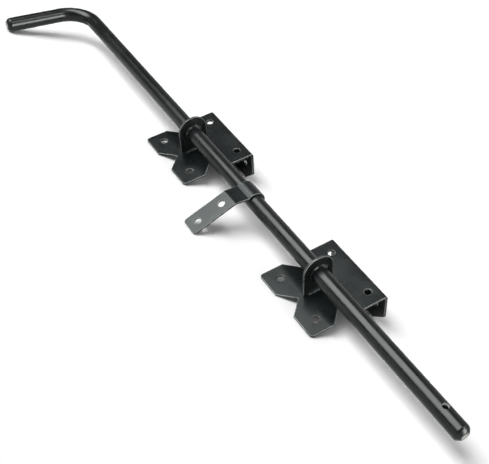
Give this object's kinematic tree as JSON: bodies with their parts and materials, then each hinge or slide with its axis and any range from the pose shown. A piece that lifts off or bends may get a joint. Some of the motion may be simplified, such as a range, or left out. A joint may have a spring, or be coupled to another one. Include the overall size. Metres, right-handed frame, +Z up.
{
  "type": "ground bolt",
  "caption": "Gate ground bolt: round bar bent into a handle, sliding through ring lugs on folded, notched guide plates, with a curled hook that holds the handle up.",
  "frame": {"origin": "on the floor that the pieces lie on, under the middle of the whole thing's box", "axes": "+Y along the bar from its tip to its handle, +Z up from the floor, +X towards the folded flanges and away from the handle's end"},
  "size_m": [0.163, 0.7, 0.056],
  "materials": {
    "bar_coat": "satin black powder coat with pale bare sawn ends",
    "guide_coat": "satin black powder coat",
    "hook_coat": "satin black powder coat"
  },
  "bodies": {
    "guides": {"upper_guide_plate": "guide_coat", "upper_ring_lug": "guide_coat", "lower_guide_plate": "guide_coat", "lower_ring_lug": "guide_coat", "rest_hook": "hook_coat"},
    "bar": {"bar": "bar_coat"}
  },
  "joints": [
    {"name": "bolt_slide", "type": "slide", "parent": "guides", "child": "bar", "axis": [0, 1, 0], "range_m": [-0.24, 0.18]}
  ]
}
